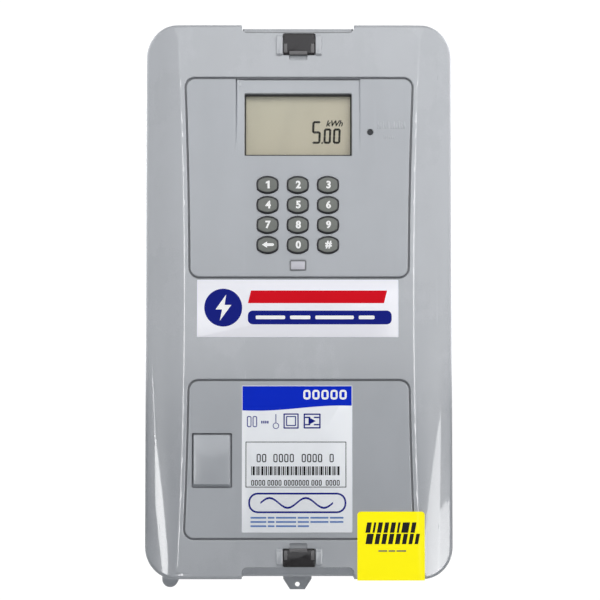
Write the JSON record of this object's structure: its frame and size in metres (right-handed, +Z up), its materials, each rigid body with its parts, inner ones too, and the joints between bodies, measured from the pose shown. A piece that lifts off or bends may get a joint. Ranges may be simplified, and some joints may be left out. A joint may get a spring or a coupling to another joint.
{
  "type": "prepaid electricity meter",
  "caption": "Plug-in keypad electricity meter on a wall base: waisted front with side wings, inset display panel, sprung keys, lower label panel and smoked seal caps.",
  "frame": {"origin": "centre of the base's back face, on the wall plane", "axes": "+Z up, +X to the right seen from the front, +Y into the wall; the front faces -Y"},
  "size_m": [0.137, 0.0634, 0.2534],
  "materials": {
    "cover_plastic": "moulded light grey plastic, glossy wings and a satin centre",
    "base_plastic": "moulded light grey plastic",
    "panel_plastic": "fine-textured light grey plastic",
    "key_grey": "mid-grey key caps with white characters",
    "smoked_plastic": "smoked translucent plastic",
    "clear_window": "clear plastic pane",
    "display_glass": "beige-green reflective liquid crystal cell",
    "black_plastic": "black moulded plastic",
    "diffuser": "white light guide",
    "light_pipe": "milky light pipe",
    "rubber_black": "black elastomer",
    "board_green": "glass-fibre circuit board with solder mask",
    "terminal_ivory": "ivory insulating moulding",
    "brass": "machined brass",
    "copper": "bare copper strip",
    "shunt_alloy": "resistance alloy strip",
    "zinc_steel": "zinc-plated steel",
    "film_yellow": "yellow film capacitor box",
    "sleeve_blue": "dark blue capacitor sleeves",
    "disc_blue": "blue epoxy coating",
    "cell_steel": "battery can",
    "winding": "taped transformer core and winding",
    "led_red": "red lens",
    "ribbon_grey": "flat grey cable",
    "label_white": "printed white film",
    "label_yellow": "printed yellow film"
  },
  "bodies": {
    "wall_base": {"base_plate": "base_plastic", "terminal_block": "terminal_ivory", "terminal_clamps": "brass", "terminal_screws": "zinc_steel", "contact_jaws": "copper", "screw_inserts": "brass", "cable_grommets": "rubber_black", "rim_gasket": "rubber_black"},
    "meter": {"front_cover": "cover_plastic", "rear_housing": "base_plastic", "display_fascia": "panel_plastic", "lower_panel": "panel_plastic", "lcd_window": "clear_window", "lcd_bezel": "black_plastic", "lcd_glass": "display_glass", "lcd_backlight": "diffuser", "zebra_strips": "rubber_black", "keypad_mat": "rubber_black", "display_board": "board_green", "status_window": "light_pipe", "status_led": "diffuser", "pulse_led": "led_red", "ribbon_cable": "ribbon_grey", "main_board": "board_green", "latching_relay": "black_plastic", "relay_busbars": "copper", "current_shunt": "shunt_alloy", "contact_blades": "brass", "mains_capacitor": "film_yellow", "electrolytic_capacitors": "sleeve_blue", "varistor": "disc_blue", "battery": "cell_steel", "transformer": "winding", "buzzer": "black_plastic", "board_chips": "black_plastic", "board_connector": "terminal_ivory", "housing_screws": "zinc_steel", "board_screws": "zinc_steel", "display_screws": "zinc_steel", "retaining_screws": "zinc_steel", "port_socket": "black_plastic", "brand_label": "label_white", "rating_label": "label_white", "corner_label": "label_yellow"},
    "key_1_cap": {"key_1": "key_grey"},
    "key_2_cap": {"key_2": "key_grey"},
    "key_3_cap": {"key_3": "key_grey"},
    "key_4_cap": {"key_4": "key_grey"},
    "key_5_cap": {"key_5": "key_grey"},
    "key_6_cap": {"key_6": "key_grey"},
    "key_7_cap": {"key_7": "key_grey"},
    "key_8_cap": {"key_8": "key_grey"},
    "key_9_cap": {"key_9": "key_grey"},
    "key_back_cap": {"key_back": "key_grey"},
    "key_0_cap": {"key_0": "key_grey"},
    "key_hash_cap": {"key_hash": "key_grey"},
    "seal_cap_top_piece": {"seal_cap_top": "smoked_plastic"},
    "seal_cap_bottom_piece": {"seal_cap_bottom": "smoked_plastic"},
    "port_cover_piece": {"port_cover": "panel_plastic"}
  },
  "joints": [
    {"name": "meter_unplug", "type": "slide", "parent": "wall_base", "child": "meter", "axis": [0, -1, 0], "range_m": [0, 0.04]},
    {"name": "key_1_press", "type": "slide", "parent": "meter", "child": "key_1_cap", "axis": [0, 1, 0], "range_m": [0, 0.001], "stiffness_N_per_m": 1000, "springref_m": -0.0003},
    {"name": "key_2_press", "type": "slide", "parent": "meter", "child": "key_2_cap", "axis": [0, 1, 0], "range_m": [0, 0.001], "stiffness_N_per_m": 1000, "springref_m": -0.0003},
    {"name": "key_3_press", "type": "slide", "parent": "meter", "child": "key_3_cap", "axis": [0, 1, 0], "range_m": [0, 0.001], "stiffness_N_per_m": 1000, "springref_m": -0.0003},
    {"name": "key_4_press", "type": "slide", "parent": "meter", "child": "key_4_cap", "axis": [0, 1, 0], "range_m": [0, 0.001], "stiffness_N_per_m": 1000, "springref_m": -0.0003},
    {"name": "key_5_press", "type": "slide", "parent": "meter", "child": "key_5_cap", "axis": [0, 1, 0], "range_m": [0, 0.001], "stiffness_N_per_m": 1000, "springref_m": -0.0003},
    {"name": "key_6_press", "type": "slide", "parent": "meter", "child": "key_6_cap", "axis": [0, 1, 0], "range_m": [0, 0.001], "stiffness_N_per_m": 1000, "springref_m": -0.0003},
    {"name": "key_7_press", "type": "slide", "parent": "meter", "child": "key_7_cap", "axis": [0, 1, 0], "range_m": [0, 0.001], "stiffness_N_per_m": 1000, "springref_m": -0.0003},
    {"name": "key_8_press", "type": "slide", "parent": "meter", "child": "key_8_cap", "axis": [0, 1, 0], "range_m": [0, 0.001], "stiffness_N_per_m": 1000, "springref_m": -0.0003},
    {"name": "key_9_press", "type": "slide", "parent": "meter", "child": "key_9_cap", "axis": [0, 1, 0], "range_m": [0, 0.001], "stiffness_N_per_m": 1000, "springref_m": -0.0003},
    {"name": "key_back_press", "type": "slide", "parent": "meter", "child": "key_back_cap", "axis": [0, 1, 0], "range_m": [0, 0.001], "stiffness_N_per_m": 1000, "springref_m": -0.0003},
    {"name": "key_0_press", "type": "slide", "parent": "meter", "child": "key_0_cap", "axis": [0, 1, 0], "range_m": [0, 0.001], "stiffness_N_per_m": 1000, "springref_m": -0.0003},
    {"name": "key_hash_press", "type": "slide", "parent": "meter", "child": "key_hash_cap", "axis": [0, 1, 0], "range_m": [0, 0.001], "stiffness_N_per_m": 1000, "springref_m": -0.0003},
    {"name": "seal_cap_top_pull", "type": "slide", "parent": "meter", "child": "seal_cap_top_piece", "axis": [0, -1, 0], "range_m": [0, 0.012]},
    {"name": "seal_cap_bottom_pull", "type": "slide", "parent": "meter", "child": "seal_cap_bottom_piece", "axis": [0, -1, 0], "range_m": [0, 0.012]},
    {"name": "port_cover_pull", "type": "slide", "parent": "meter", "child": "port_cover_piece", "axis": [0, -1, 0], "range_m": [0, 0.01]}
  ]
}
